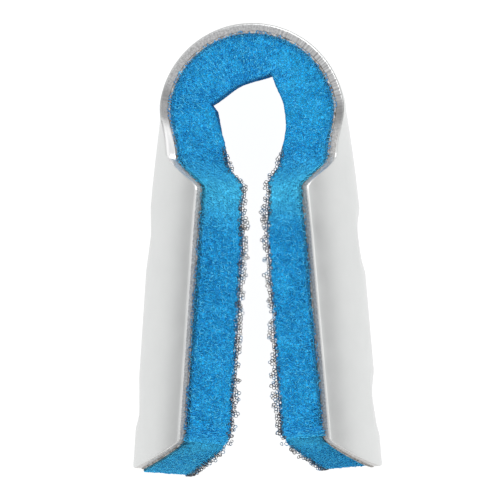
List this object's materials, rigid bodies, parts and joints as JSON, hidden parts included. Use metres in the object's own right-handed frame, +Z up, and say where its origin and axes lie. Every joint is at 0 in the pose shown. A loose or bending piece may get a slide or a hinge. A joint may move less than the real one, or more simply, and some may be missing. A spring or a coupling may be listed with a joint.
{
  "type": "finger splint",
  "caption": "Fold-over padded finger splint: an aluminium strip bent round the fingertip into two curled legs, lined with open-cell foam.",
  "frame": {"origin": "on the surface that the splint lies on, under the middle of its bounding box", "axes": "+Y from the open end towards the fingertip loop, +X towards the right leg as seen from above, +Z up, from the lower to the upper edges of the curled legs"},
  "size_m": [0.0312, 0.0562, 0.0245],
  "materials": {
    "aluminium": "satin, sheared edges with fine cross striations",
    "adhesive": "thin pressure-sensitive transfer film",
    "foam": "blue open-cell polyurethane foam, matte"
  },
  "bodies": {
    "root": {"aluminium_shell": "aluminium", "adhesive_film": "adhesive", "foam_pad": "foam"}
  },
  "joints": []
}
